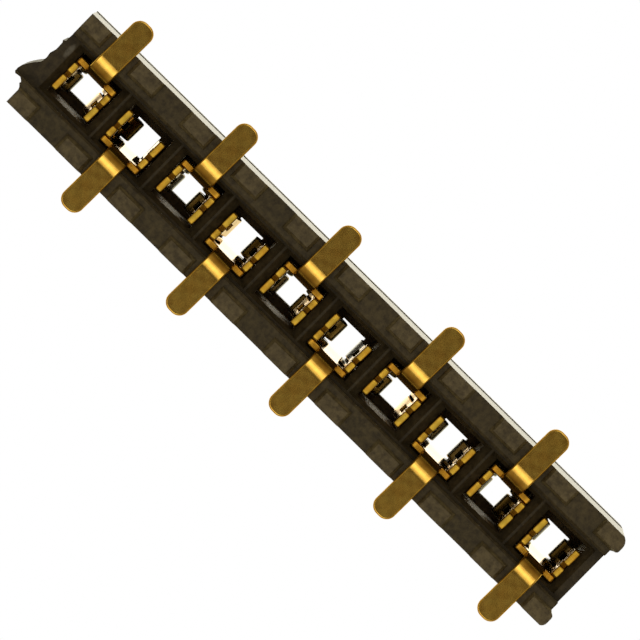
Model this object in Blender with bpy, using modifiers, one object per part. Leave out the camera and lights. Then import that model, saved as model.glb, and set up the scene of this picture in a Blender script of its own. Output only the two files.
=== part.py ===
"""Single-row surface-mount socket strip with ten spring contacts.

The moulded housing stands on the soles of the solder tails, as it would on a board.
+Z points at the mating face, X runs along the row, and the board is the plane Z = 0.
Odd contacts send their tail to -Y, even ones to +Y. The -X end was snapped off a
longer strip, and the +X end is as moulded.
"""

import math

import bmesh
import bpy
from mathutils import Matrix

MM = 0.001
ALONG_ROW = Matrix(((0, 0, 1, 0), (1, 0, 0, 0), (0, 1, 0, 0), (0, 0, 0, 1)))
ACROSS_ROW = Matrix(((1, 0, 0, 0), (0, 0, -1, 0), (0, 1, 0, 0), (0, 0, 0, 1)))

# Row
positions = 10
pitch = 1.27 * MM

# Housing, heights above the board
mating_height = 3.05 * MM
rail_height = 0.20 * MM
pad_height = 0.08 * MM
ledge_depth = 0.84 * MM
flange_depth = 0.57 * MM

# Housing, plan
body_width = 2.15 * MM
side_step = 0.015 * MM
side_taper = 0.022 * MM
moulded_end = 0.77 * MM
cut_end = 0.83 * MM
near_nub_reach = 0.12 * MM
near_nub_width = 0.34 * MM
near_nub_radius = 0.19 * MM
far_nub_reach = 0.10 * MM
far_nub_width = 0.31 * MM
far_nub_radius = 0.13 * MM
nub_heel_radius = 0.07 * MM

# Underside of the housing
channel_margin = 0.12 * MM
channel_depth = 0.30 * MM
channel_chamfer = 0.045 * MM
pad_length = 0.51 * MM
pad_width = 0.29 * MM
pad_draft = 0.06 * MM

# Pockets and pin entries
pocket_length = 0.945 * MM
pocket_width = 0.92 * MM
pocket_draft = 0.0175 * MM
lead_in_length = 0.14 * MM
lead_in_width = 0.07 * MM
lead_in_depth = 0.18 * MM
mating_wall = 0.50 * MM
entry_width = 0.535 * MM
funnel_width = 0.86 * MM
funnel_depth = 0.20 * MM

# Contact: strip and tail
stock = 0.13 * MM
tail_width = 0.45 * MM
tail_reach = 1.65 * MM
tail_tip_flat = 0.08 * MM
tail_bend_radius = 0.305 * MM
back_clearance = 0.05 * MM

# Contact: folded cage
cage_clearance = 0.0125 * MM
wing_clearance = 0.0275 * MM
wall_clearance = 0.125 * MM
fold_radius = 0.005 * MM
wall_foot_height = 0.50 * MM
shoulder_height = 0.58 * MM
wing_height = 0.11 * MM
slit = 0.03 * MM
fold_relief = 0.012 * MM
notch_width = 0.085 * MM
notch_centre = 0.0175 * MM
band_height = 1.10 * MM

# Contact: springs, depths below the pocket floor
spring_gap = 0.34 * MM
spring_contact_depth = 0.69 * MM
spring_tip_depth = 0.40 * MM
spring_flare = 0.075 * MM
spring_knee = 0.037 * MM
knee_share = 0.37
knee_slope = 0.27
flare_slope = 0.35
finger_width = 0.09 * MM
finger_slit = 0.045 * MM
window_width = 0.125 * MM
window_centre = 0.0545 * MM
window_share = 0.46
blade_trim = 0.055 * MM
back_spring_depth = 0.05 * MM
back_spring_lean = 0.065 * MM

# Facets
tip_steps = 6
tail_bend_steps = 7
fold_steps = 4
knee_steps = 2
spring_steps = 4
flare_steps = 2
corner_steps = 6
flat_angle = math.radians(0.2)

# Values that follow: housing
channel_height = rail_height + channel_depth
channel_width = pocket_width + 2 * channel_margin
pocket_floor = mating_height - mating_wall
first_x = -pitch * (positions - 1) / 2
last_x = -first_x
past_all = 2 * pitch

# Values that follow: contact
cage_half = pocket_length / 2 - cage_clearance
wing_half = pocket_length / 2 - wing_clearance
wall_plane = cage_half - stock / 2
back_plane = pocket_width / 2 - back_clearance - stock / 2
wall_end = pocket_width / 2 - wall_clearance
fold_middle = fold_radius + stock / 2
bend_middle = tail_bend_radius + stock / 2
wing_top = shoulder_height + wing_height
relief_height = wing_top + slit
spring_contact_height = pocket_floor - spring_contact_depth
spring_tip_height = pocket_floor - spring_tip_depth
back_spring_height = pocket_floor - back_spring_depth
knee_height = band_height + knee_share * (spring_contact_height - band_height)
window_height = band_height + window_share * (spring_contact_height - band_height)
flat_half = wall_plane - fold_middle
fold_end = flat_half + fold_middle * math.pi / 2
fold_place = back_plane - fold_middle


def clear_scene():
    for old in list(bpy.data.objects):
        bpy.data.objects.remove(old, do_unlink=True)


def collection(name):
    made = bpy.data.collections.new(name)
    bpy.context.scene.collection.children.link(made)
    return made


def material(name, colour, roughness, metallic):
    made = bpy.data.materials.new(name)
    made.use_nodes = True
    shader = made.node_tree.nodes["Principled BSDF"]
    shader.inputs["Base Color"].default_value = (*colour, 1)
    shader.inputs["Roughness"].default_value = roughness
    shader.inputs["Metallic"].default_value = metallic
    made.diffuse_color = (*colour, 1)
    return made


def contact_x(index):
    return first_x + index * pitch


def add_mesh(name, bm, target):
    """Turns a bmesh into an object of the given collection."""
    mesh = bpy.data.meshes.new(name)
    bmesh.ops.recalc_face_normals(bm, faces=bm.faces)
    bm.to_mesh(mesh)
    bm.free()
    made = bpy.data.objects.new(name, mesh)
    target.objects.link(made)
    return made


def arc(centre, radius, start, end, steps):
    """Points on an arc, angles in degrees, both ends included."""
    points = []
    for step in range(steps + 1):
        angle = math.radians(start + (end - start) * step / steps)
        points.append((centre[0] + radius * math.cos(angle), centre[1] + radius * math.sin(angle)))
    return points


def extruded(bm, outline, low, high, to_place):
    """An outline in its own XY, extruded from low to high and carried by to_place."""
    corners = [bm.verts.new((x, y, low)) for x, y in outline]
    face = bm.faces.new(corners)
    grown = bmesh.ops.extrude_face_region(bm, geom=[face])["geom"]
    raised = [item for item in grown if isinstance(item, bmesh.types.BMVert)]
    bmesh.ops.translate(bm, verts=raised, vec=(0, 0, high - low))
    bmesh.ops.transform(bm, matrix=to_place, verts=corners + raised)


def stacked(bm, x, sections):
    """A rectangular plug centred on x: sections are (height, half length, half width)."""
    base_z, half_x, half_y = sections[0]
    place = Matrix.Translation((x, 0, base_z)) @ Matrix.Diagonal((half_x, half_y, 1, 1))
    made = bmesh.ops.create_grid(bm, x_segments=1, y_segments=1, size=1, matrix=place)
    bottom = made["verts"][0].link_faces[0]
    top = bottom
    for z, half_x, half_y in sections[1:]:
        grown = bmesh.ops.extrude_face_region(bm, geom=[top])["geom"]
        for item in grown:
            if isinstance(item, bmesh.types.BMVert):
                side_x = math.copysign(half_x, item.co.x - x)
                side_y = math.copysign(half_y, item.co.y)
                item.co = (x + side_x, side_y, z)
        if top is not bottom:
            bmesh.ops.delete(bm, geom=[top], context="FACES_ONLY")
        top = next(item for item in grown if isinstance(item, bmesh.types.BMFace))


def cut(target, cutter):
    cutter.hide_render = True
    cutter.display_type = "WIRE"
    boolean = target.modifiers.new(cutter.name, "BOOLEAN")
    boolean.operation = "DIFFERENCE"
    boolean.solver = "EXACT"
    boolean.object = cutter


def moulded_nubs(half):
    """The +X end in plan, from the -Y side to the +Y side: two rounded nubs beside a flat end face."""
    face_x = last_x + moulded_end
    near_x = face_x + near_nub_reach
    near_y = -half + near_nub_width
    far_x = face_x + far_nub_reach
    far_y = half - far_nub_width
    heel = nub_heel_radius
    points = arc((near_x - near_nub_radius, -half + near_nub_radius), near_nub_radius, -90, 0, corner_steps)
    points += arc((near_x - heel, near_y - heel), heel, 0, 90, corner_steps // 2)
    points += [(face_x, near_y + heel / 2), (face_x, far_y - heel / 2)]
    points += arc((far_x - heel, far_y + heel), heel, -90, 0, corner_steps // 2)
    points += arc((far_x - far_nub_radius, half - far_nub_radius), far_nub_radius, 0, 90, corner_steps)
    return points


def snapped_end(half):
    """The -X end in plan, from the +Y side to the -Y side: clean cuts through both rails, a ragged
    middle, and the stub of the next position's wall. Each pair is how far the plastic stands past
    the cut, and where it is across the row."""
    ragged = [
        (0.00, 0.78),
        (0.02, 0.74),
        (0.07, 0.69),
        (0.06, 0.66),
        (0.09, 0.63),
        (0.13, 0.605),
        (0.19, 0.61),
        (0.24, 0.62),
        (0.275, 0.59),
        (0.28, 0.53),
        (0.26, 0.45),
        (0.21, 0.36),
        (0.14, 0.26),
        (0.06, 0.17),
        (0.045, 0.05),
        (0.06, -0.05),
        (0.025, -0.17),
        (0.03, -0.33),
        (0.055, -0.365),
        (0.01, -0.39),
        (0.00, -0.56),
    ]
    end_x = first_x - cut_end
    points = [(end_x, half)]
    points += [(end_x - past * MM, across * MM) for past, across in ragged]
    points += [(end_x, -half)]
    return points


def housing_block(target):
    """The housing's plan, straight up to the flange and narrower towards the mating face."""
    widest = body_width / 2 + side_step
    levels = [
        (pad_height, widest),
        (mating_height - flange_depth, widest),
        (mating_height, widest - side_taper),
    ]
    bm = bmesh.new()
    plans = []
    for z, half in levels:
        outline = moulded_nubs(half) + snapped_end(half)
        plans.append(bm.faces.new([bm.verts.new((x, y, z)) for x, y in outline]))
    for low, high in zip(plans, plans[1:]):
        bmesh.ops.bridge_loops(bm, edges=list(low.edges) + list(high.edges))
    bmesh.ops.delete(bm, geom=plans[1:-1], context="FACES_ONLY")
    return add_mesh("housing", bm, target)


def underside_cutter(target):
    """The recess between the pads and the channel between the rails, as one profile along the row."""
    pad_inner = body_width / 2 - pad_width
    pad_foot = pad_inner - pad_draft
    flare = pad_draft / (rail_height - pad_height)
    below = -pad_height
    half_channel = channel_width / 2
    half = [
        (pad_foot + flare * (rail_height - below), below),
        (pad_foot, rail_height),
        (half_channel + channel_chamfer, rail_height),
        (half_channel, rail_height + channel_chamfer),
        (half_channel, channel_height),
    ]
    outline = half + [(-y, z) for y, z in reversed(half)]
    bm = bmesh.new()
    extruded(bm, outline, first_x - past_all, last_x + past_all, ALONG_ROW)
    return add_mesh("underside_cutter", bm, target)


def pad_gap_cutter(target):
    """One gap across both rails at each contact, with drafted sides, so that pads stay between."""
    flare = pad_draft / (rail_height - pad_height)
    below = -pad_height
    narrow = (pitch - pad_length) / 2 - pad_draft
    wide = narrow + flare * (rail_height - below)
    outline = [(-wide, below), (wide, below), (narrow, rail_height), (-narrow, rail_height)]
    bm = bmesh.new()
    for index in range(positions):
        to_place = Matrix.Translation((contact_x(index), 0, 0)) @ ACROSS_ROW
        extruded(bm, outline, -body_width, body_width, to_place)
    return add_mesh("pad_gap_cutter", bm, target)


def pocket_cutter(target):
    """Each contact's pocket: lead-in, drafted pocket, pin entry and funnel, in one plug."""
    mouth_z = channel_height + lead_in_depth
    floor_z = pocket_floor
    funnel_z = mating_height - funnel_depth
    half_length = pocket_length / 2
    half_width = pocket_width / 2
    entry = entry_width / 2
    slope = (funnel_width - entry_width) / 2 / funnel_depth
    above = mating_height + mating_wall
    top = entry + slope * (above - funnel_z)
    start_z = channel_height - lead_in_depth / 2
    sections = [
        (start_z, half_length + 1.5 * lead_in_length, half_width + 1.5 * lead_in_width),
        (mouth_z, half_length, half_width),
        (floor_z, half_length - pocket_draft, half_width - pocket_draft),
        (floor_z, entry, entry),
        (funnel_z, entry, entry),
        (above, top, top),
    ]
    bm = bmesh.new()
    for index in range(positions):
        stacked(bm, contact_x(index), sections)
    return add_mesh("pocket_cutter", bm, target)


def ledge_cutter(target):
    """Trims the long sides below the parting ledge."""
    outer = body_width / 2
    outline = [
        (outer, -pad_height),
        (outer + 3 * side_step, -pad_height),
        (outer + 3 * side_step, mating_height - ledge_depth),
        (outer, mating_height - ledge_depth),
    ]
    other_side = Matrix.Scale(-1, 4, (0, 1, 0))
    bm = bmesh.new()
    extruded(bm, outline, first_x - past_all, last_x + past_all, ALONG_ROW)
    extruded(bm, outline, first_x - past_all, last_x + past_all, other_side @ ALONG_ROW)
    return add_mesh("ledge_cutter", bm, target)


def make_housing(parts, cutters):
    made = housing_block(parts)
    cut(made, ledge_cutter(cutters))
    cut(made, underside_cutter(cutters))
    cut(made, pad_gap_cutter(cutters))
    cut(made, pocket_cutter(cutters))
    made.data.materials.append(material("black_plastic", (0.045, 0.038, 0.028), 0.6, 0.0))
    return made


def ease(share):
    return share * share * (3 - 2 * share)


def spring_plane(z):
    """Distance of a side spring's middle plane from the contact's centre plane, at height z."""
    bowed = spring_gap / 2 + stock / 2
    path = [
        (band_height, wall_plane, 0),
        (knee_height, wall_plane - spring_knee, -knee_slope),
        (spring_contact_height, bowed, 0),
        (spring_tip_height, bowed + spring_flare, flare_slope),
    ]
    for (z_0, x_0, slope_0), (z_1, x_1, slope_1) in zip(path, path[1:]):
        if z_0 < z <= z_1:
            share = (z - z_0) / (z_1 - z_0)
            chord = (x_1 - x_0) / (z_1 - z_0)
            bend = (slope_0 - chord) * (1 - share) - (slope_1 - chord) * share
            return x_0 + (x_1 - x_0) * share + share * (1 - share) * (z_1 - z_0) * bend
    return wall_plane


def back_plane_at(z):
    """Distance of the back's middle plane from the row's centre line, at height z."""
    if z <= band_height:
        return back_plane
    share = (z - band_height) / (back_spring_height - band_height)
    return back_plane - back_spring_lean * ease(share)


def on_wall(place):
    """Where a place across the row lies on the flat strip, for a side wall."""
    return fold_end + fold_place - place


def strip_across():
    """Lines along the strip, outwards from its centre line, in order."""
    lines = {0, tail_width / 2, flat_half, fold_end + fold_relief}
    for step in range(1, fold_steps + 1):
        lines.add(flat_half + (fold_end - flat_half) * step / fold_steps)
    lines.add(fold_end + finger_width)
    lines.add(fold_end + finger_width + finger_slit)
    lines.add(on_wall(notch_centre + notch_width / 2))
    lines.add(on_wall(notch_centre - notch_width / 2))
    lines.add(on_wall(window_width / 2 - window_centre))
    lines.add(on_wall(-window_width / 2 - window_centre))
    lines.add(on_wall(-wall_end) - blade_trim)
    lines.add(on_wall(-wall_end))
    return sorted(lines)


def spread(low, high, steps):
    """Heights from low to high, without the first."""
    return [low + (high - low) * step / steps for step in range(1, steps + 1)]


def strip_along():
    """Stations up the strip, from the tail's tip to the top of the back spring.

    Each is (place across the row, height, half width where the tip narrows it or None)."""
    stations = []
    half = tail_width / 2
    widest = math.acos(tail_tip_flat / tail_width)
    for step in range(tip_steps + 1):
        angle = widest * (1 - step / tip_steps)
        reach = tail_reach - half + half * math.sin(angle) / math.sin(widest)
        stations.append((reach, stock / 2, half * math.cos(angle)))
    centre_y = back_plane + bend_middle
    centre_z = stock / 2 + bend_middle
    for step in range(tail_bend_steps + 1):
        angle = math.pi / 2 * step / tail_bend_steps
        place = centre_y - bend_middle * math.sin(angle)
        stations.append((place, centre_z - bend_middle * math.cos(angle), None))
    heights = {wall_foot_height, shoulder_height, wing_top, relief_height, band_height, window_height}
    heights.update(spread(band_height, knee_height, knee_steps))
    heights.update(spread(knee_height, spring_contact_height, spring_steps))
    heights.update(spread(spring_contact_height, spring_tip_height, flare_steps))
    heights.add(back_spring_height)
    stations += [(back_plane_at(z), z, None) for z in sorted(heights)]
    return stations


def strip_point(line, station):
    """Where a point of the flat strip lies once the contact is folded; line is signed."""
    place, z, half_width = station
    side = math.copysign(1, line)
    across = abs(line)
    if half_width is not None:
        return (line / (tail_width / 2) * half_width, place, z)
    if across <= flat_half:
        return (line, place, z)
    if z <= wing_top and across <= fold_end:
        share = (across - flat_half) / (fold_end - flat_half)
        return (side * (flat_half + share * (wing_half - flat_half)), back_plane, z)
    if across <= fold_end:
        turned = (across - flat_half) / fold_middle
        x = flat_half + fold_middle * math.sin(turned)
        return (side * x, back_plane - fold_middle * (1 - math.cos(turned)), z)
    return (side * spring_plane(z), fold_place - (across - fold_end), z)


def on_strip(line, z):
    """Whether the blank has metal at this place: the middle of a cell of the grid."""
    across = abs(line)
    place = fold_place - (across - fold_end)
    in_notch = abs(place - notch_centre) < notch_width / 2
    in_slit = finger_width < across - fold_end < finger_width + finger_slit
    in_window = z < window_height and abs(place + window_centre) < window_width / 2
    in_blade = across > fold_end and place > blade_trim - wall_end
    if across < tail_width / 2:
        return True
    if z > spring_tip_height:
        return False
    if z > band_height:
        return in_blade and not in_slit and not in_window
    if z > relief_height:
        return True
    if z > wing_top:
        return across < flat_half or (across > fold_end + fold_relief and not in_notch)
    if across < fold_end:
        return z > shoulder_height
    return z > wall_foot_height and across > fold_end + fold_relief and not in_notch


def merge_flats(mesh):
    """Joins neighbouring faces that lie in one plane."""
    bm = bmesh.new()
    bm.from_mesh(mesh)
    bmesh.ops.dissolve_limit(bm, angle_limit=flat_angle, verts=bm.verts, edges=bm.edges)
    bm.to_mesh(mesh)
    bm.free()


def contact_mesh(target):
    """The stamped strip as a grid, trimmed to its blank, folded, and given its thickness."""
    half_lines = strip_across()
    lines = [-line for line in reversed(half_lines[1:])] + half_lines
    stations = strip_along()
    bm = bmesh.new()
    bmesh.ops.create_grid(bm, x_segments=len(lines) - 1, y_segments=len(stations) - 1, size=1)
    bm.verts.ensure_lookup_table()
    index = {}
    for vert in bm.verts:
        column = round((vert.co.x + 1) / 2 * (len(lines) - 1))
        row = round((vert.co.y + 1) / 2 * (len(stations) - 1))
        index[vert] = (column, row)
    outside = []
    for face in bm.faces:
        columns = {index[vert][0] for vert in face.verts}
        rows = {index[vert][1] for vert in face.verts}
        line = sum(lines[column] for column in columns) / 2
        z = sum(stations[row][1] for row in rows) / 2
        if not on_strip(line, z):
            outside.append(face)
    bmesh.ops.delete(bm, geom=outside, context="FACES")
    for vert in bm.verts:
        column, row = index[vert]
        vert.co = strip_point(lines[column], stations[row])
    made = add_mesh("contact_sheet", bm, target)
    thicken = made.modifiers.new("stock", "SOLIDIFY")
    thicken.thickness = stock
    thicken.offset = 0
    thicken.use_even_offset = True
    bpy.context.view_layer.update()
    solid = bpy.data.meshes.new_from_object(made.evaluated_get(bpy.context.evaluated_depsgraph_get()))
    solid.name = "contact"
    bpy.data.objects.remove(made, do_unlink=True)
    merge_flats(solid)
    return solid


def make_contacts(parts, cutters):
    """Ten of one contact, each turned half a turn against its neighbours."""
    solid = contact_mesh(cutters)
    solid.materials.append(material("gold_plate", (0.75, 0.50, 0.16), 0.25, 1.0))
    solid.set_sharp_from_angle(angle=math.radians(35))
    for index in range(positions):
        made = bpy.data.objects.new(f"contact_{index + 1:02d}", solid)
        made.location = (contact_x(index), 0, 0)
        made.rotation_euler = (0, 0, math.pi if index % 2 == 0 else 0)
        parts.objects.link(made)


def main():
    clear_scene()
    parts = collection("socket_strip")
    cutters = collection("cutters")
    make_housing(parts, cutters)
    make_contacts(parts, cutters)


main()
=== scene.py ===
"""Looks of the single-row surface-mount socket strip, seen from its solder side over a light table.

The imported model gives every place. Sizes below are in millimetres until a mesh is finished,
because the fine edges are too small for Blender's mesh tools in metres.
"""

import math

import bmesh
import bpy
from mathutils import Matrix, Vector


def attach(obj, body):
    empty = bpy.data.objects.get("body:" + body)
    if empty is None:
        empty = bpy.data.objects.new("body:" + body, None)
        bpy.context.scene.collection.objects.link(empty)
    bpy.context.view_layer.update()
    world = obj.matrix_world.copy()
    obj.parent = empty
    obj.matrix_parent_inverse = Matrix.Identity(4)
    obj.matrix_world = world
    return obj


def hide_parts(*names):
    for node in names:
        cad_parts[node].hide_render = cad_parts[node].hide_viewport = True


MM = 0.001

# Photograph, in its own pixels
PHOTO_SIDE = 640
PIXELS_PER_MM = 57.25
PHOTO_CENTRE = (315.7, 321.6)
ROW_ANGLE = math.radians(44.5)
VIEW_LEAN = (0.024, 0.041)
CAMERA_DISTANCE = 175.0
AIM_HEIGHT = 0.05
SENSOR = 36.0

# Row
TOP = 3.05
POSITIONS = 10
PITCH = 1.27
FIRST_X = -PITCH * (POSITIONS - 1) / 2
CONTACT_SHIFT = 0.03
CONTACT_TWIST = math.radians(1.1)

# Contacts as they sit in the photograph, off their places along the row
SEATING = (-0.015, -0.03, 0, -0.005, 0, -0.025, -0.01, -0.005, 0.005, 0.01)

# How far each contact's springs lean along the row where they pinch
SPRING_LEAN = (0.005, 0.105, -0.035, -0.025, -0.005, 0.055, 0.025, -0.005, -0.05, -0.045)

# Contact: strip and tail
STOCK = 0.13
TAIL_HALF = 0.225
TAIL_REACH = 1.65
TAIL_CORNER = 0.19
BEND_MIDDLE = 0.37
BACK_MIDDLE = 0.345

# Contact: cage
WALL_MIDDLE = 0.395
FOLD_MIDDLE = 0.07
WING_REACH = 0.445
WING_GAP = 0.012
WING_TOP = 0.69
WALL_FOOT = 0.50
SHOULDER = 0.58
RELIEF = 0.72
BAND_TOP = 1.10
WALL_END = -0.335
NOTCH = (-0.025, 0.06)

# Contact: springs
BLADE = (-0.28, 0.14)
BLADE_SLOT = (-0.117, 0.008)
SLOT_TOP = 1.45
FINGER_FROM = 0.185
SPRING_TIP = 2.15
PINCH = 1.86
BACK_TIP = 2.50
BACK_LEAN = 0.065

# Paths of the side springs: height, distance from the middle and slope at each bend
KNEED_PATH = ((BAND_TOP, WALL_MIDDLE, 0), (1.38, 0.358, -0.27), (PINCH, 0.235, 0), (SPRING_TIP, 0.31, 0.35))
EVEN_PATH = ((BAND_TOP, WALL_MIDDLE, -0.08), (1.25, 0.379, -0.17), (PINCH, 0.265, -0.1), (SPRING_TIP, 0.285, 0.2))
LATE_PATH = ((BAND_TOP, WALL_MIDDLE, -0.05), (1.60, 0.318, -0.19), (PINCH, 0.235, 0), (SPRING_TIP, 0.31, 0.35))

# Springs that don't follow the kneed path, by the contact's number and the side along X
SPRING_BENDS = {(1, 1): EVEN_PATH, (2, 1): EVEN_PATH, (4, -1): EVEN_PATH, (5, 1): LATE_PATH, (7, 1): EVEN_PATH}

# Height where each path gets so steep that the spring's gold is painted near black as shade, up to the pinch
PAINTED_SHADE_FROM = {KNEED_PATH: 1.30, EVEN_PATH: SPRING_TIP, LATE_PATH: 1.62}

# Contact: rounding and facets
INNER_ROUND = 0.012
OUTER_ROUND = 0.036
CORNER_STEPS = 4
TIP_STEPS = 12
EDGE_ROUND = 0.03
EDGE_STEPS = 3
RIM_DEPTH = 0.012
FOLD_CUTS = 6
BEND_CUTS = 18
SPRING_CUTS = 28

# Looks: colours by height in millimetres, some of them painted light and shade, and the mirrored surroundings by
# degrees from straight down
WHITE = (1, 1, 1)
# Plastic by height: paler on the standoff pads and their slopes, darkest down the channel and lighter again up the
# pockets, as painted light and shade
PLASTIC_LIGHT_AND_SHADE_BY_HEIGHT = (
    (0.09, (0.097, 0.068, 0.026)),
    (0.13, (0.115, 0.082, 0.030)),
    (0.18, (0.096, 0.068, 0.025)),
    (0.195, (0.056, 0.038, 0.012)),
    (0.24, (0.050, 0.034, 0.011)),
    (0.48, (0.040, 0.026, 0.008)),
    (1.00, (0.056, 0.044, 0.024)),
)
# Where the pockets lie, for the painted light inside them
POCKET_SIDES = (0.48, 0.55)
POCKET_ENDS = (6.25, 6.35)
CHANNEL_SIDES = (0.6, 1.0)
# Inside the pockets, up to four times lighter from the lead-in to the mating wall: painted light
POCKET_PAINTED_LIGHT_BY_HEIGHT = ((0.67, WHITE), (0.85, (4, 3.6, 3)), (2.50, (4, 3.6, 3)), (2.60, WHITE))
# Stamped rims: painted highlight just above the wall's foot, painted shade higher up, and painted shade towards
# the middle along X
STAMPED_LIGHT_AND_SHADE_BY_HEIGHT = ((0.53, WHITE), (0.57, (1.1, 0.92, 0.8)), (0.70, (0.34, 0.27, 0.22)))
STAMPED_SHADE_SIDES = (0.35, 0.42)
STAMPED_INNER_SHADE = 0.7
MIRRORED_BY_ANGLE = (
    (0, (0.08, 0.073, 0.066)),
    (6, (0.10, 0.092, 0.078)),
    (14, (0.38, 0.35, 0.20)),
    (30, (0.40, 0.37, 0.22)),
    (50, (0.34, 0.29, 0.17)),
    (66, (0.27, 0.21, 0.12)),
    (80, (0.12, 0.09, 0.05)),
    (89, (0.10, 0.08, 0.04)),
    (96, (0.80, 0.73, 0.44)),
    (110, (1.10, 1.00, 0.64)),
    (180, (1.15, 1.05, 0.70)),
)
PLASTIC_SHEEN = 0.25
# A paler patch on the stub at the snapped end: its place and size
PALE_PATCH_PLACE = (-6.385, -0.31, 0.45)
PALE_PATCH_SIZE = (0.07, 0.19, 0.6)

# Lamps: the key lamp from above, and the lens's ring from below, as side of the row and degrees off
# straight up, each with discs of two widths in degrees and their strengths
KEY_STRENGTH = 0.35
KEY_WIDTH = 40
KEY_TOWARDS = (0.15, 0.2, -1.0)
RING_ANGLES = ((-1, 26), (1, 30))
RINGS = ((38, 0.30), (18, 0.06))

# Floor
FLOOR_RADIUS = 300
FLOOR_DROP = 0.02

# Contact: places on the flat strip
FLAT = WALL_MIDDLE - FOLD_MIDDLE
CORNER = FLAT + FOLD_MIDDLE * math.pi / 2
CORNER_PLACE = BACK_MIDDLE - FOLD_MIDDLE
BEND_TOP = STOCK / 2 + BEND_MIDDLE
BEND_FOOT = BEND_TOP - BEND_MIDDLE * math.pi / 2
TAIL_TIP = BEND_FOOT - (TAIL_REACH - BACK_MIDDLE - BEND_MIDDLE)


def material(name):
    made = bpy.data.materials.new(name)
    made.use_nodes = True
    made.node_tree.nodes.clear()
    return made, made.node_tree


def node(tree, kind, **values):
    """A shader node; inputs are given by name, everything else is a property."""
    made = tree.nodes.new(kind)
    for key, value in values.items():
        if key in made.inputs:
            made.inputs[key].default_value = value
        else:
            setattr(made, key, value)
    return made


def link(tree, source, target):
    tree.links.new(source, target)


def ramp(tree, source, stops):
    """A colour ramp fed by source; stops are (position, colour)."""
    made = node(tree, "ShaderNodeValToRGB")
    elements = made.color_ramp.elements
    elements[0].position, elements[0].color = stops[0][0], (*stops[0][1], 1)
    elements[1].position, elements[1].color = stops[-1][0], (*stops[-1][1], 1)
    for position, colour in stops[1:-1]:
        elements.new(position).color = (*colour, 1)
    link(tree, source, made.inputs["Fac"])
    return made.outputs["Color"]


def ranged(tree, source, low, high, to_low, to_high):
    made = node(tree, "ShaderNodeMapRange")
    for name, value in (("From Min", low), ("From Max", high), ("To Min", to_low), ("To Max", to_high)):
        made.inputs[name].default_value = value
    link(tree, source, made.inputs["Value"])
    return made.outputs["Result"]


def between(tree, source, places, to_low, to_high):
    """A value that goes from one number to another between two places, given in millimetres."""
    return ranged(tree, source, places[0] * MM, places[1] * MM, to_low, to_high)


def product(tree, first, second):
    made = node(tree, "ShaderNodeVectorMath", operation="MULTIPLY")
    link(tree, first, made.inputs[0])
    link(tree, second, made.inputs[1])
    return made.outputs["Vector"]


def axis(tree, source, name):
    parts = node(tree, "ShaderNodeSeparateXYZ")
    link(tree, source, parts.inputs["Vector"])
    return parts.outputs[name]


def distance(tree, source, name):
    """How far along one axis, whichever way."""
    made = node(tree, "ShaderNodeMath", operation="ABSOLUTE")
    link(tree, axis(tree, source, name), made.inputs[0])
    return made.outputs["Value"]


def by_height(tree, place, shades):
    """Colours by height above the board, given in millimetres."""
    share = ranged(tree, axis(tree, place, "Z"), 0, TOP * MM, 0, 1)
    return ramp(tree, share, [(z / TOP, colour) for z, colour in shades])


def pale_patch(tree, place):
    """A paler patch on the stub at the snapped end."""
    near = node(tree, "ShaderNodeMapping", vector_type="TEXTURE")
    near.inputs["Location"].default_value = tuple(value * MM for value in PALE_PATCH_PLACE)
    near.inputs["Scale"].default_value = tuple(value * MM for value in PALE_PATCH_SIZE)
    link(tree, place, near.inputs["Vector"])
    ball = node(tree, "ShaderNodeTexGradient", gradient_type="SPHERICAL")
    link(tree, near.outputs["Vector"], ball.inputs["Vector"])
    return ramp(tree, ball.outputs["Fac"], ((0.1, WHITE), (0.5, (2.6, 3.2, 6.0))))


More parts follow.
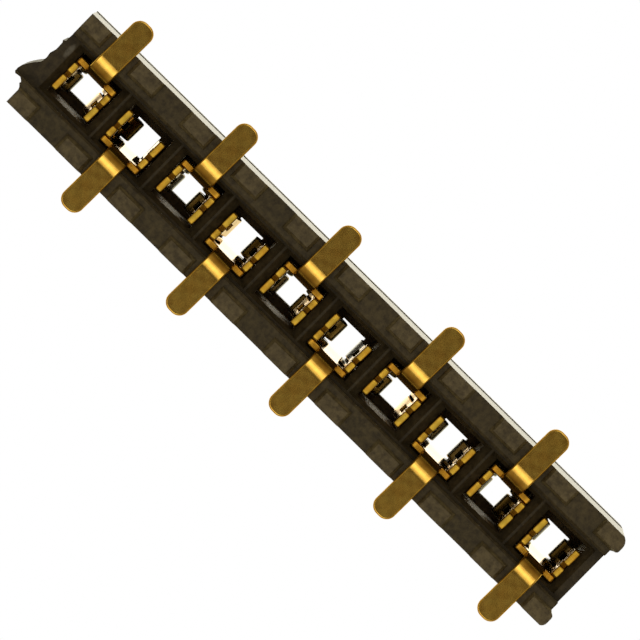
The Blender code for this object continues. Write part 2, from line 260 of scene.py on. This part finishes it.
def black_plastic():
    """Moulded plastic with random grain: painted light and shade by height, paler on the standoff pads and darker
    in the channel, painted light inside the pockets, a paler patch at the snapped end, and glossier on upright
    faces.
    """
    made, tree = material("black_plastic_moulded")
    out = node(tree, "ShaderNodeOutputMaterial")
    place = node(tree, "ShaderNodeTexCoord").outputs["Object"]
    # Painted light and shade by height
    depth = by_height(tree, place, PLASTIC_LIGHT_AND_SHADE_BY_HEIGHT)
    speckle = node(tree, "ShaderNodeTexNoise", Scale=9000.0, Detail=3.0, Roughness=0.7)
    link(tree, place, speckle.inputs["Vector"])
    grains = ramp(tree, speckle.outputs["Fac"], ((0.34, (0.62, 0.60, 0.58)), (0.66, (1.38, 1.40, 1.42))))
    blotch = node(tree, "ShaderNodeTexNoise", Scale=1600.0, Detail=2.0)
    link(tree, place, blotch.inputs["Vector"])
    blotches = ramp(tree, blotch.outputs["Fac"], ((0.3, (0.86, 0.86, 0.84)), (0.7, (1.14, 1.14, 1.16))))
    across = distance(tree, place, "Y")
    # Painted light inside the pockets, by height
    pocket_painted_light = node(tree, "ShaderNodeMix", data_type="RGBA")
    inside = node(tree, "ShaderNodeMath", operation="MINIMUM")
    link(tree, between(tree, across, POCKET_SIDES, 1, 0), inside.inputs[0])
    link(tree, between(tree, distance(tree, place, "X"), POCKET_ENDS, 1, 0), inside.inputs[1])
    link(tree, inside.outputs["Value"], pocket_painted_light.inputs["Factor"])
    pocket_painted_light.inputs[6].default_value = (*WHITE, 1)
    link(tree, by_height(tree, place, POCKET_PAINTED_LIGHT_BY_HEIGHT), pocket_painted_light.inputs[7])
    level = distance(tree, node(tree, "ShaderNodeNewGeometry").outputs["Normal"], "Z")
    grain = node(tree, "ShaderNodeBump", Strength=0.25, Distance=0.000004)
    link(tree, speckle.outputs["Fac"], grain.inputs["Height"])
    shader = node(tree, "ShaderNodeBsdfPrincipled")
    shader.inputs["Specular IOR Level"].default_value = PLASTIC_SHEEN
    base = product(tree, product(tree, depth, grains), blotches)
    shade = product(tree, pocket_painted_light.outputs[2], pale_patch(tree, place))
    link(tree, product(tree, base, shade), shader.inputs["Base Color"])
    matt = node(tree, "ShaderNodeMath", operation="MAXIMUM")
    link(tree, ranged(tree, level, 0.1, 0.7, 0.3, 0.6), matt.inputs[0])
    link(tree, between(tree, across, CHANNEL_SIDES, 0.55, 0.2), matt.inputs[1])
    link(tree, matt.outputs["Value"], shader.inputs["Roughness"])
    link(tree, grain.outputs["Normal"], shader.inputs["Normal"])
    link(tree, shader.outputs["BSDF"], out.inputs["Surface"])
    return made


def gold_plate(name, roughness, deep, pale, patchy, stamped=False):
    """Gold over rolled strip: fine grain, warmer where the plating is thin, and on stamped rims painted shade,
    darker further in and towards the middle, with a painted highlight just above the wall's foot.
    """
    made, tree = material(name)
    out = node(tree, "ShaderNodeOutputMaterial")
    place = node(tree, "ShaderNodeTexCoord").outputs["Object"]
    grain = node(tree, "ShaderNodeTexNoise", Scale=5000.0, Detail=4.0, Roughness=0.6)
    link(tree, place, grain.inputs["Vector"])
    tint = ramp(tree, grain.outputs["Fac"], ((0.35, deep), (0.65, pale)))
    patch = node(tree, "ShaderNodeTexNoise", Scale=6500.0, Detail=0.0)
    link(tree, place, patch.inputs["Vector"])
    patches = ramp(tree, patch.outputs["Fac"], ((0.35, (patchy, patchy, patchy)), (0.65, WHITE)))
    relief = node(tree, "ShaderNodeBump", Strength=0.08, Distance=0.000002)
    link(tree, grain.outputs["Fac"], relief.inputs["Height"])
    shader = node(tree, "ShaderNodeBsdfPrincipled", Metallic=1.0, Roughness=roughness)
    shade = patches
    if stamped:
        # Painted shade on stamped rims: darker towards the middle along X and higher up, with a painted highlight
        # just above the wall's foot
        inner_shade = between(tree, distance(tree, place, "X"), STAMPED_SHADE_SIDES, STAMPED_INNER_SHADE, 1)
        shade = product(tree, product(tree, patches, by_height(tree, place, STAMPED_LIGHT_AND_SHADE_BY_HEIGHT)), inner_shade)
    link(tree, product(tree, tint, shade), shader.inputs["Base Color"])
    link(tree, relief.outputs["Normal"], shader.inputs["Normal"])
    link(tree, shader.outputs["BSDF"], out.inputs["Surface"])
    return made


def ease(share):
    share = min(max(share, 0), 1)
    return share * share * (3 - 2 * share)


def along_wall(place):
    """Where a place across the row lies on the flat strip, once it is on a side wall."""
    return CORNER + CORNER_PLACE - place


def spring_plane(z, path):
    """Distance of a side spring's middle plane from the contact's centre plane."""
    for (z_0, x_0, slope_0), (z_1, x_1, slope_1) in zip(path, path[1:]):
        if z_0 < z <= z_1:
            share = (z - z_0) / (z_1 - z_0)
            rest = 1 - share
            ends = x_0 * rest + x_1 * share
            chord = (x_1 - x_0) / (z_1 - z_0)
            bend = (slope_0 - chord) * rest - (slope_1 - chord) * share
            return ends + share * rest * (z_1 - z_0) * bend
    return WALL_MIDDLE


def back_plane(z):
    return BACK_MIDDLE - BACK_LEAN * ease((z - BAND_TOP) / (BACK_TIP - BAND_TOP))


def folded(u, s, springs):
    """A point of the strip's middle surface: u across the flat strip, s along it and, above the bend,
    the height. Springs is how far they lean, and the path of each side's."""
    if s < BEND_TOP:
        if s < BEND_FOOT:
            return Vector((u, BACK_MIDDLE + BEND_MIDDLE + BEND_FOOT - s, STOCK / 2))
        angle = (BEND_TOP - s) / BEND_MIDDLE
        place = BACK_MIDDLE + BEND_MIDDLE * (1 - math.cos(angle))
        return Vector((u, place, BEND_TOP - BEND_MIDDLE * math.sin(angle)))
    side = math.copysign(1, u)
    across = abs(u)
    if across <= FLAT:
        return Vector((u, back_plane(s), s))
    if s < (WING_TOP + RELIEF) / 2 and across < CORNER:
        spread = (WING_REACH - FLAT) / (CORNER - WING_GAP - FLAT)
        return Vector((side * (FLAT + (across - FLAT) * spread), BACK_MIDDLE, s))
    if across < CORNER:
        turned = (across - FLAT) / FOLD_MIDDLE
        x = FLAT + FOLD_MIDDLE * math.sin(turned)
        return Vector((side * x, BACK_MIDDLE - FOLD_MIDDLE * (1 - math.cos(turned)), s))
    lean, paths = springs
    leaning = lean * ease((s - BAND_TOP) / (PINCH - BAND_TOP))
    return Vector((side * spring_plane(s, paths[side]) + leaning, CORNER_PLACE - (across - CORNER), s))


def sheet_normal(u, s, springs):
    """The strip's own normal after folding, from two short steps on the folded surface."""
    step = 1e-5
    along_u = folded(u + step, s, springs) - folded(u - step, s, springs)
    along_s = folded(u, s + step, springs) - folded(u, s - step, springs)
    return along_u.cross(along_s).normalized()


def rounded(corners):
    """A closed outline with an arc at each corner; a corner is (x, y, radius, steps)."""
    points = []
    for index, (x, y, radius, steps) in enumerate(corners):
        here = Vector((x, y))
        before = (Vector(corners[index - 1][:2]) - here).normalized()
        after = (Vector(corners[(index + 1) % len(corners)][:2]) - here).normalized()
        half = before.angle(after) / 2
        centre = here + (before + after).normalized() * (radius / math.sin(half))
        first = here + before * (radius / math.tan(half)) - centre
        last = here + after * (radius / math.tan(half)) - centre
        points += [centre + first.slerp(last, step / steps) * radius for step in range(steps + 1)]
    return points


def window_outline(low_u, high_u, low_s, high_s):
    """A hole, which runs the other way round than the outer edge."""
    places = [(low_u, low_s), (low_u, high_s), (high_u, high_s), (high_u, low_s)]
    return rounded([(u, s, INNER_ROUND, CORNER_STEPS) for u, s in places])


def blank_outlines():
    """The stamped blank: its outer edge and the windows in its spring blades."""
    wing = CORNER - WING_GAP
    block = CORNER + WING_GAP
    notch_to, notch_from = along_wall(NOTCH[0]), along_wall(NOTCH[1])
    blade_to, blade_from = along_wall(BLADE[0]), along_wall(BLADE[1])
    half = [
        (TAIL_HALF, SHOULDER),
        (wing, SHOULDER),
        (wing, WING_TOP),
        (FLAT, WING_TOP),
        (FLAT, RELIEF),
        (block, RELIEF),
        (block, WALL_FOOT),
        (notch_from, WALL_FOOT),
        (notch_from, RELIEF),
        (notch_to, RELIEF),
        (notch_to, WALL_FOOT),
        (along_wall(WALL_END), WALL_FOOT),
        (along_wall(WALL_END), BAND_TOP),
        (blade_to, BAND_TOP),
        (blade_to, SPRING_TIP),
        (blade_from, SPRING_TIP),
        (blade_from, BAND_TOP),
        (along_wall(FINGER_FROM), BAND_TOP),
        (along_wall(FINGER_FROM), SPRING_TIP),
        (CORNER, SPRING_TIP),
        (CORNER, BAND_TOP),
        (TAIL_HALF, BAND_TOP),
        (TAIL_HALF, BACK_TIP),
    ]
    right = [(TAIL_HALF, TAIL_TIP, TAIL_CORNER, TIP_STEPS)]
    for before, here, after in zip([(TAIL_HALF, TAIL_TIP)] + half, half, half[1:] + [(0, BACK_TIP)]):
        turn = (Vector(here) - Vector(before)).cross(Vector(after) - Vector(here))
        right.append((*here, OUTER_ROUND if turn > 0 else INNER_ROUND, CORNER_STEPS))
    left = [(-u, s, radius, steps) for u, s, radius, steps in reversed(right)]
    slot_from, slot_to = along_wall(BLADE_SLOT[1]), along_wall(BLADE_SLOT[0])
    right_slot = window_outline(slot_from, slot_to, BAND_TOP, SLOT_TOP)
    left_slot = window_outline(-slot_to, -slot_from, BAND_TOP, SLOT_TOP)
    return [rounded(right + left), right_slot, left_slot]


def blank_slab():
    """The blank as a flat slab with rounded edges, in millimetres: x across, y along, z through the sheet."""
    curve = bpy.data.curves.new("contact_blank", "CURVE")
    curve.dimensions = "2D"
    curve.fill_mode = "BOTH"
    curve.extrude = STOCK / 2 - EDGE_ROUND
    curve.bevel_depth = EDGE_ROUND
    curve.bevel_resolution = EDGE_STEPS
    curve.offset = -EDGE_ROUND
    for outline in blank_outlines():
        spline = curve.splines.new("POLY")
        spline.points.add(len(outline) - 1)
        for point, (x, y) in zip(spline.points, outline):
            point.co = (x, y, 0, 1)
        spline.use_cyclic_u = True
    holder = bpy.data.objects.new("contact_blank", curve)
    mesh = bpy.data.meshes.new_from_object(holder)
    bpy.data.objects.remove(holder)
    bpy.data.curves.remove(curve)
    return mesh


def slice_slab(bm):
    """Rows of edges wherever the strip will be bent."""
    across = [FLAT + (CORNER - FLAT) * step / FOLD_CUTS for step in range(FOLD_CUTS + 1)]
    along = [BEND_FOOT + (BEND_TOP - BEND_FOOT) * step / BEND_CUTS for step in range(BEND_CUTS + 1)]
    along += [BAND_TOP + (BACK_TIP - BAND_TOP) * step / SPRING_CUTS for step in range(SPRING_CUTS)]
    planes = [((u, 0, 0), (1, 0, 0)) for u in across + [-u for u in across]]
    planes += [((0, s, 0), (0, 1, 0)) for s in along]
    for place, normal in planes:
        everything = bm.verts[:] + bm.edges[:] + bm.faces[:]
        bmesh.ops.bisect_plane(bm, geom=everything, dist=1e-6, plane_co=place, plane_no=normal)


def sliced_blank():
    """The flat slab cut for bending, its stamped rim marked as the second material."""
    mesh = blank_slab()
    bm = bmesh.new()
    bm.from_mesh(mesh)
    bpy.data.meshes.remove(mesh)
    bmesh.ops.remove_doubles(bm, verts=bm.verts, dist=1e-5)
    bmesh.ops.recalc_face_normals(bm, faces=bm.faces)
    slice_slab(bm)
    bmesh.ops.triangulate(bm, faces=bm.faces)
    for face in bm.faces:
        face.smooth = True
        deepest = max(abs(vert.co.z) for vert in face.verts)
        face.material_index = int(deepest < STOCK / 2 - RIM_DEPTH)
    bm.verts.index_update()
    return bm


def contact_mesh(blank, springs, finishes):
    """The contact: the blank folded about its middle surface, and scaled to metres."""
    mesh = bpy.data.meshes.new("contact_fine")
    bm = blank.copy()
    paths = springs[1]
    for face in bm.faces:
        u, s, depth = face.calc_center_median()
        # Steep spring faces up to the pinch take the near-black gold: painted shade
        if abs(u) > CORNER and PAINTED_SHADE_FROM[paths[math.copysign(1, u)]] < s < PINCH:
            face.material_index = 2
    flats = {}
    for vert in bm.verts:
        u, s, depth = vert.co
        normal = sheet_normal(u, s, springs)
        vert.co = folded(u, s, springs) + normal * depth
        if abs(depth) > STOCK / 2 - 1e-5:
            flats[vert.index] = normal * math.copysign(1, depth)
    bm.to_mesh(mesh)
    bm.free()
    mesh.transform(Matrix.Scale(MM, 4))
    for finish in finishes:
        mesh.materials.append(finish)
    normals = [flats.get(vert.index, vert.normal) for vert in mesh.vertices]
    mesh.normals_split_custom_set_from_vertices(normals)
    return mesh


def make_contacts(finishes):
    """Ten contacts from one blank, each turned half a turn against its neighbours."""
    blank = sliced_blank()
    for index in range(POSITIONS):
        turned = index % 2 == 0
        facing = -1 if turned else 1
        paths = {side: SPRING_BENDS.get((index + 1, side * facing), KNEED_PATH) for side in (-1, 1)}
        mesh = contact_mesh(blank, (SPRING_LEAN[index] * facing, paths), finishes)
        piece = bpy.data.objects.new(f"fine_contact_{index + 1:02d}", mesh)
        piece.location = ((FIRST_X + index * PITCH + SEATING[index]) * MM, CONTACT_SHIFT * MM, 0)
        piece.rotation_euler.z = CONTACT_TWIST + (math.pi if turned else 0)
        bpy.context.scene.collection.objects.link(piece)
        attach(piece, "root")
        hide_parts(f"contact_{index + 1:02d}")
    blank.free()


def make_world():
    """A light table: white to the eye and above the part, and the dark lens and its ring below it."""
    world = bpy.data.worlds.new("light_table")
    bpy.context.scene.world = world
    world.use_nodes = True
    tree = world.node_tree
    tree.nodes.clear()
    out = node(tree, "ShaderNodeOutputWorld")
    height = axis(tree, node(tree, "ShaderNodeTexCoord").outputs["Generated"], "Z")
    below = node(tree, "ShaderNodeMath", operation="MULTIPLY")
    below.inputs[1].default_value = -1
    link(tree, height, below.inputs[0])
    angle = node(tree, "ShaderNodeMath", operation="ARCCOSINE")
    link(tree, below.outputs["Value"], angle.inputs[0])
    degrees = ranged(tree, angle.outputs["Value"], 0, math.pi, 0, 1)

    rays = node(tree, "ShaderNodeLightPath")
    lit = node(tree, "ShaderNodeBackground")
    link(tree, ranged(tree, height, -1, 1, 0.45, 0.55), lit.inputs["Strength"])
    mirrored = node(tree, "ShaderNodeBackground")
    stops = [(place / 180, colour) for place, colour in MIRRORED_BY_ANGLE]
    link(tree, ramp(tree, degrees, stops), mirrored.inputs["Color"])
    seen = node(tree, "ShaderNodeBackground", Color=(1, 1, 1, 1), Strength=1.0)
    first = node(tree, "ShaderNodeMixShader")
    link(tree, rays.outputs["Is Glossy Ray"], first.inputs["Fac"])
    link(tree, lit.outputs["Background"], first.inputs[1])
    link(tree, mirrored.outputs["Background"], first.inputs[2])
    direct = node(tree, "ShaderNodeMath", operation="MAXIMUM")
    link(tree, rays.outputs["Is Camera Ray"], direct.inputs[0])
    link(tree, rays.outputs["Is Transmission Ray"], direct.inputs[1])
    second = node(tree, "ShaderNodeMixShader")
    link(tree, direct.outputs["Value"], second.inputs["Fac"])
    link(tree, first.outputs["Shader"], second.inputs[1])
    link(tree, seen.outputs["Background"], second.inputs[2])
    link(tree, second.outputs["Shader"], out.inputs["Surface"])


def sun(name, strength, angle, towards):
    """A soft lamp shining along the direction towards."""
    data = bpy.data.lights.new(name, "SUN")
    data.energy = strength
    data.angle = math.radians(angle)
    lamp = bpy.data.objects.new(name, data)
    lamp.rotation_euler = Vector(towards).to_track_quat("-Z", "Y").to_euler()
    bpy.context.scene.collection.objects.link(lamp)


def make_lamps():
    sun("key", KEY_STRENGTH, KEY_WIDTH, KEY_TOWARDS)
    for side, degrees in RING_ANGLES:
        below = math.radians(degrees)
        for width, strength in RINGS:
            sun(f"ring_{width}_{side}", strength, width, (0, side * math.sin(below), math.cos(below)))


def make_floor():
    """The board's plane, seen only from above, so that the part can be looked at from below."""
    made, tree = material("pale_floor")
    out = node(tree, "ShaderNodeOutputMaterial")
    pale = node(tree, "ShaderNodeBsdfDiffuse", Color=(0.9, 0.9, 0.89, 1))
    clear = node(tree, "ShaderNodeBsdfTransparent")
    side = node(tree, "ShaderNodeNewGeometry")
    mixed = node(tree, "ShaderNodeMixShader")
    link(tree, side.outputs["Backfacing"], mixed.inputs["Fac"])
    link(tree, pale.outputs["BSDF"], mixed.inputs[1])
    link(tree, clear.outputs["BSDF"], mixed.inputs[2])
    link(tree, mixed.outputs["Shader"], out.inputs["Surface"])
    bm = bmesh.new()
    bmesh.ops.create_circle(bm, cap_ends=True, segments=64, radius=FLOOR_RADIUS * MM)
    mesh = bpy.data.meshes.new("floor")
    bm.to_mesh(mesh)
    bm.free()
    mesh.materials.append(made)
    floor = bpy.data.objects.new("floor", mesh)
    floor.location.z = -FLOOR_DROP * MM
    floor.visible_diffuse = False
    floor.visible_glossy = False
    floor.visible_transmission = False
    floor.visible_shadow = False
    bpy.context.scene.collection.objects.link(floor)


def make_camera():
    """Below the strip, looking up at its solder side, with the row turned as in the photograph."""
    data = bpy.data.cameras.new("photo_camera")
    data.sensor_width = SENSOR
    data.lens = PIXELS_PER_MM * SENSOR * CAMERA_DISTANCE / PHOTO_SIDE
    data.clip_start = CAMERA_DISTANCE * MM * 0.1
    data.clip_end = CAMERA_DISTANCE * MM * 10
    away = Vector((*VIEW_LEAN, 1)).normalized()
    top = Vector((1, 0, 0)).cross(away).normalized()
    along = away.cross(top)
    right = math.cos(ROW_ANGLE) * along + math.sin(ROW_ANGLE) * top
    up = -math.sin(ROW_ANGLE) * along + math.cos(ROW_ANGLE) * top
    aim_right = (PHOTO_SIDE / 2 - PHOTO_CENTRE[0]) / PIXELS_PER_MM
    aim_up = (PHOTO_CENTRE[1] - PHOTO_SIDE / 2) / PIXELS_PER_MM
    aim = Vector((0, CONTACT_SHIFT, AIM_HEIGHT)) + aim_right * right + aim_up * up
    place = (aim - CAMERA_DISTANCE * away) * MM
    turn = Matrix((right, up, -away)).transposed()
    camera = bpy.data.objects.new("photo_camera", data)
    camera.matrix_world = Matrix.Translation(place) @ turn.to_4x4()
    bpy.context.scene.collection.objects.link(camera)
    bpy.context.scene.camera = camera


def corners(box):
    return [list(corner) for corner in box]


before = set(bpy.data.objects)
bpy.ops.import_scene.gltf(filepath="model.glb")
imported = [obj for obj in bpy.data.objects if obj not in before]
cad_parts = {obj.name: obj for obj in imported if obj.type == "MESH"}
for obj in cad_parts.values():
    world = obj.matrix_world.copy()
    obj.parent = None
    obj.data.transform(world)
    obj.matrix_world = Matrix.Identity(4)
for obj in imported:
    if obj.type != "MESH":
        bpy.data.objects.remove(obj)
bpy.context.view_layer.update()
bpy.context.scene.view_settings.view_transform = "Standard"

plastic = black_plastic()
gold = gold_plate("gold_plate_rolled", 0.17, (0.66, 0.36, 0.06), (0.82, 0.51, 0.095), 0.85)
cut_gold = gold_plate("gold_plate_stamped_painted_shade", 0.5, (0.80, 0.43, 0.045), (1.0, 0.66, 0.09), 0.8, stamped=True)
# Near-black gold for steep spring faces: painted shade
painted_shade_gold = gold_plate("gold_plate_painted_shade", 0.2, (0.02, 0.018, 0.007), (0.03, 0.026, 0.01), 0.85)
for name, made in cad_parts.items():
    made.data.materials.clear()
    made.data.materials.append(plastic if name == "housing" else gold)

make_contacts((gold, cut_gold, painted_shade_gold))
make_world()
make_lamps()
make_floor()
make_camera()
